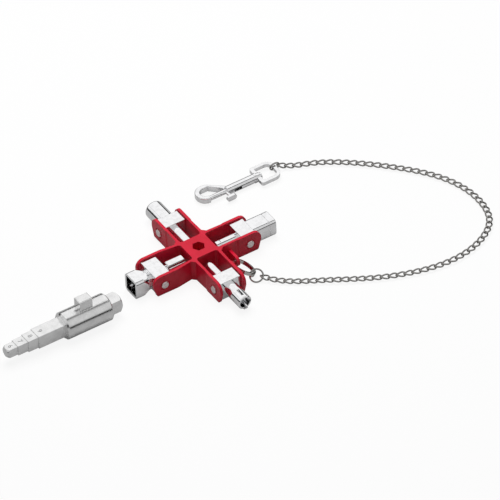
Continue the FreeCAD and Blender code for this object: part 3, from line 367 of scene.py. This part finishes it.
@dataclass
class ChainSet:
    """Split ring, jump ring and curb chain.

    Attributes:
        swell_mm: How far the flat-faced wire grows before it is rounded, because
            rounding takes about a sixth off its radius.
        levels: Rounds of subdivision of the wire.
    """

    swell_mm: float = 0.11
    levels: int = 2

    def round_wire(self, source: bpy.types.Object, name: str) -> bpy.types.Object:
        """Makes a smooth copy of a flat-faced wire.

        Args:
            source: CAD node made of flat faces.
            name: Name of the new piece.

        Returns:
            The smooth piece.
        """
        shape = bmesh.new()
        shape.from_mesh(source.data)
        bmesh.ops.remove_doubles(shape, verts=shape.verts, dist=0.002 * MM)
        bmesh.ops.join_triangles(
            shape, faces=shape.faces, angle_face_threshold=math.radians(60),
            angle_shape_threshold=math.radians(180))
        shape.normal_update()
        for vertex in shape.verts:
            vertex.co += vertex.normal * self.swell_mm * MM
        mesh = bpy.data.meshes.new(name)
        shape.to_mesh(mesh)
        shape.free()
        piece = bpy.data.objects.new(name, mesh)
        bpy.context.collection.objects.link(piece)
        rounding = piece.modifiers.new("round", "SUBSURF")
        rounding.levels = self.levels
        rounding.render_levels = self.levels
        graph = bpy.context.evaluated_depsgraph_get()
        smooth = bpy.data.meshes.new_from_object(piece.evaluated_get(graph))
        piece.modifiers.clear()
        piece.data = smooth
        smooth.polygons.foreach_set("use_smooth", [True] * len(smooth.polygons))
        return piece

    def build(self, frame: dict[str, Any]) -> None:
        """Rounds the chain and the jump ring and dresses them with the split ring.

        Args:
            frame: The loaded frame.
        """
        # The chain and the jump ring take the darker nickel, whose colour holds painted shade.
        nickel = WIRE.material()
        dress(frame, ("split_ring",), RING.material())
        for node in ("chain", "jump_ring"):
            piece = self.round_wire(frame["nodes"][node], f"round_{node}")
            piece.data.materials.clear()
            piece.data.materials.append(nickel)
            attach(piece, "cross")
            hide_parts(node)
            LOG.info("built %s with %d faces", piece.name, len(piece.data.polygons))


@dataclass
class SnapHook:
    """Swivel snap hook with its sliding gate."""

    plated: tuple[str, ...] = (
        "swivel_ring", "swivel_pin", "snap_hook", "gate_bolt", "gate_knob")
    spring: tuple[str, ...] = ("gate_spring",)

    def build(self, frame: dict[str, Any], chrome: bpy.types.Material) -> None:
        """Dresses the hook.

        Args:
            frame: The loaded frame.
            chrome: The chrome that the keys and the hook share.
        """
        dress(frame, self.plated, chrome)
        dress(frame, self.spring, SPRING.material())


@dataclass
class SteppedBit:
    """Loose bit with four square sizes, its sleeve and its lug.

    Attributes:
        sizes: Sides of the four steps in millimetres, from the tip inwards.
        step_mm: Length of a step.
        digit_mm: Size of the font that gives digits about three millimetres tall.
        mark_mm: How far the mark stands on the surface, thin enough to look rolled in.
    """

    sizes: tuple[int, ...] = (6, 7, 8, 9)
    step_mm: float = 6.8
    digit_mm: float = 4.0
    mark_mm: float = 0.02
    nodes: tuple[str, ...] = ("stepped_bit", "bit_sleeve", "bit_lug")

    def add_mark(self, digit: int, centre: Vector) -> bpy.types.Object:
        """Makes one size mark that reads along the bar.

        Args:
            digit: The number to show.
            centre: Middle of the mark on the top face, in metres.

        Returns:
            The mark as a mesh piece.
        """
        text = bpy.data.curves.new(f"size_mark_{digit}", "FONT")
        text.body = str(digit)
        text.size = self.digit_mm * MM
        text.align_x = "CENTER"
        text.align_y = "CENTER"
        text.extrude = self.mark_mm * MM
        holder = bpy.data.objects.new(f"size_mark_{digit}", text)
        bpy.context.collection.objects.link(holder)
        graph = bpy.context.evaluated_depsgraph_get()
        mesh = bpy.data.meshes.new_from_object(holder.evaluated_get(graph))
        bpy.data.objects.remove(holder)
        across = Vector((0, -1, 0))
        upwards = Vector((1, 0, 0))
        turn = Matrix((across, upwards, Vector((0, 0, 1)))).transposed()
        mesh.transform(Matrix.Translation(centre) @ turn.to_4x4())
        piece = bpy.data.objects.new(f"size_mark_{digit}", mesh)
        bpy.context.collection.objects.link(piece)
        return piece

    def build(self, frame: dict[str, Any]) -> None:
        """Dresses the bit and marks its steps.

        Args:
            frame: The loaded frame.
        """
        dress(frame, self.nodes, SATIN.material())
        low, high = (Vector(corner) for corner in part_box("stepped_bit"))
        middle = (low + high) / 2
        mark = MARK.material()
        for index, side in enumerate(self.sizes):
            centre = Vector((
                low.x + (index + 0.5) * self.step_mm * MM, middle.y, middle.z + side / 2 * MM))
            piece = self.add_mark(side, centre)
            piece.data.materials.clear()
            piece.data.materials.append(mark)
            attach(piece, "cross")
            LOG.info("built %s", piece.name)


@dataclass
class Studio:
    """White table, soft lamp, surroundings and the camera.

    Attributes:
        target: Point of the floor in the middle of the image, in metres.
        distance: Distance of the camera from the target, in metres.
        lens: Focal length in millimetres on a 36 mm sensor.
        right: Direction across the image before the camera's slight roll.
        upward: Direction up the image before the roll.
        roll: Roll of the camera in degrees.
        lamp_place: Where the lamp hangs, in metres.
        lamp_side: Side of the square lamp, in metres.
        lamp_power: Power of the lamp in watts.
        table_reach: Distance from the middle of the table to its edges, in metres.
        table_drop_mm: How far the table lies below the object.
        table_glow: Glow that makes the table white to the camera.
        table_sheen: Glow that the metal sees in the table.
        front_way: Direction of the pale front wall that the metal mirrors.
    """

    target: Vector = field(default_factory=lambda: Vector((0.0306, -0.0068, 0.0)))
    distance: float = 12.0
    lens: float = 1481.0
    right: Vector = field(default_factory=lambda: Vector((0.8601, -0.5101, 0.0)))
    upward: Vector = field(default_factory=lambda: Vector((0.3417, 0.5761, 0.7426)))
    roll: float = 2.87
    lamp_place: Vector = field(default_factory=lambda: Vector((0.1, 0.25, 0.95)))
    lamp_side: float = 0.7
    lamp_power: float = 7.6
    table_reach: float = 4.0
    table_drop_mm: float = 0.02
    table_glow: float = 0.88
    table_sheen: float = 0.1
    front_way: tuple[float, float, float] = (-0.646, -0.753, 0.119)

    def add_camera(self) -> None:
        """Sets the camera at the photograph's angle."""
        turn = math.radians(self.roll)
        across = (self.right * math.cos(turn) - self.upward * math.sin(turn)).normalized()
        up = (self.right * math.sin(turn) + self.upward * math.cos(turn)).normalized()
        back = across.cross(up).normalized()
        data = bpy.data.cameras.new("camera")
        data.lens = self.lens
        data.sensor_width = 36
        data.clip_start = 0.05
        data.clip_end = 40
        camera = bpy.data.objects.new("camera", data)
        bpy.context.collection.objects.link(camera)
        placed = Matrix((across, up, back)).transposed().to_4x4()
        placed.translation = self.target + back * self.distance
        camera.matrix_world = placed
        bpy.context.scene.camera = camera

    def add_lamp(self, name: str, place: Vector, side: float, power: float) -> None:
        """Adds one soft square lamp that looks at the object.

        Args:
            name: Name of the lamp.
            place: Where it hangs, in metres.
            side: Side of its square, in metres.
            power: Power in watts.
        """
        data = bpy.data.lights.new(name, "AREA")
        data.size = side
        data.energy = power
        lamp = bpy.data.objects.new(name, data)
        lamp.location = place
        lamp.rotation_euler = (self.target - place).to_track_quat("-Z", "Y").to_euler()
        lamp.visible_glossy = False
        bpy.context.collection.objects.link(lamp)

    def add_floor(self) -> None:
        """Lays the table: white to the camera, light grey where the metal mirrors it."""
        mesh = bpy.data.meshes.new("table")
        reach = self.table_reach
        level = -self.table_drop_mm * MM
        corners = [(-reach, -reach, level), (reach, -reach, level),
                   (reach, reach, level), (-reach, reach, level)]
        mesh.from_pydata(corners, [], [(0, 1, 2, 3)])
        floor = bpy.data.objects.new("table", mesh)
        bpy.context.collection.objects.link(floor)
        made = bpy.data.materials.new("white_table_paper")
        made.use_nodes = True
        tree = made.node_tree
        tree.nodes.remove(tree.nodes["Principled BSDF"])
        path = add_node(tree, "ShaderNodeLightPath")
        seen = add_node(
            tree, "ShaderNodeMath", {"operation": "MAXIMUM"},
            {0: path.outputs["Is Camera Ray"], 1: path.outputs["Is Transmission Ray"]})
        tone = add_node(
            tree, "ShaderNodeMix",
            {"data_type": "RGBA", 6: linear("B0B0B0"), 7: linear("646464")},
            {0: seen.outputs["Value"]})
        paper = add_node(tree, "ShaderNodeBsdfDiffuse", None, {"Color": tone.outputs[2]})
        glow = add_node(tree, "ShaderNodeEmission", {"Color": linear("FFFFFF")})
        sheen = add_node(
            tree, "ShaderNodeMath", {"operation": "MULTIPLY", 1: self.table_sheen},
            {0: path.outputs["Is Glossy Ray"]})
        strength = add_node(
            tree, "ShaderNodeMath", {"operation": "MULTIPLY_ADD", 1: self.table_glow},
            {0: seen.outputs["Value"], 2: sheen.outputs["Value"]})
        tree.links.new(strength.outputs["Value"], glow.inputs["Strength"])
        both = add_node(
            tree, "ShaderNodeAddShader", None, {0: paper.outputs["BSDF"], 1: glow.outputs["Emission"]})
        tree.links.new(both.outputs["Shader"], tree.nodes["Material Output"].inputs["Surface"])
        mesh.materials.append(made)

    def add_surroundings(self) -> None:
        """Sets what the metal mirrors: a white room, a dark horizon and a dark card overhead."""
        world = bpy.data.worlds.new("studio")
        world.use_nodes = True
        tree = world.node_tree
        tree.nodes.clear()
        way = add_node(tree, "ShaderNodeTexCoord")
        split = add_node(
            tree, "ShaderNodeSeparateXYZ", None, {"Vector": way.outputs["Generated"]})
        low = add_node(tree, "ShaderNodeValToRGB", None, {"Fac": split.outputs["Z"]})
        set_stops(low, [
            (0.0, linear("1E1E1E")), (0.2, linear("1E1E1E")), (0.3, linear("FFFFFF"))])
        towards = add_node(
            tree, "ShaderNodeVectorMath", {"operation": "DOT_PRODUCT", 1: self.front_way},
            {0: way.outputs["Generated"]})
        front = add_node(
            tree, "ShaderNodeMapRange", {"From Min": -1.0, "From Max": 1.0},
            {"Value": towards.outputs["Value"]})
        walls = add_node(tree, "ShaderNodeValToRGB", None, {"Fac": front.outputs["Result"]})
        set_stops(walls, [(0.48, linear("FFFFFF")), (0.54, linear("DADADA"))])
        room_seen = add_node(
            tree, "ShaderNodeMix", {"data_type": "RGBA", "blend_type": "MULTIPLY", 0: 1.0},
            {6: walls.outputs["Color"], 7: low.outputs["Color"]})
        card = add_node(tree, "ShaderNodeValToRGB", None, {"Fac": front.outputs["Result"]})
        set_stops(card, [
            (0.45, linear("FFFFFF")), (0.475, linear("121212")), (0.525, linear("121212")),
            (0.55, linear("FFFFFF"))])
        overhead = add_node(
            tree, "ShaderNodeMapRange", {"From Min": 0.5, "From Max": 0.62},
            {"Value": split.outputs["Z"]})
        mirrored = add_node(
            tree, "ShaderNodeMix", {"data_type": "RGBA", "blend_type": "MULTIPLY"},
            {0: overhead.outputs["Result"], 6: room_seen.outputs[2], 7: card.outputs["Color"]})
        path = add_node(tree, "ShaderNodeLightPath")
        room = add_node(
            tree, "ShaderNodeMix", {"data_type": "RGBA", 6: linear("7C7C7C")},
            {0: path.outputs["Is Glossy Ray"], 7: mirrored.outputs[2]})
        clear = add_node(
            tree, "ShaderNodeMath", {"operation": "MAXIMUM"},
            {0: path.outputs["Is Camera Ray"], 1: path.outputs["Is Transmission Ray"]})
        shown = add_node(
            tree, "ShaderNodeMix", {"data_type": "RGBA", 7: linear("FFFFFF")},
            {0: clear.outputs["Value"], 6: room.outputs[2]})
        sky = add_node(
            tree, "ShaderNodeBackground", {"Strength": 1.0}, {"Color": shown.outputs[2]})
        add_node(tree, "ShaderNodeOutputWorld", None, {"Surface": sky.outputs["Background"]})
        bpy.context.scene.world = world

    def build(self) -> None:
        """Builds the whole studio."""
        self.add_camera()
        self.add_lamp("high_soft_lamp", self.lamp_place, self.lamp_side, self.lamp_power)
        self.add_floor()
        self.add_surroundings()
        bpy.context.scene.view_settings.view_transform = "Standard"
        LOG.info("built the studio")


def main() -> None:
    """Builds every sub-assembly in order."""
    logging.basicConfig(level=logging.INFO, format="%(message)s")
    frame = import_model()
    chrome = CHROME.material()
    CrossHandle().build(frame)
    SocketKeys().build(frame, chrome)
    ChainSet().build(frame)
    SnapHook().build(frame, chrome)
    SteppedBit().build(frame)
    Studio().build()


if __name__ == "__main__":
    main()
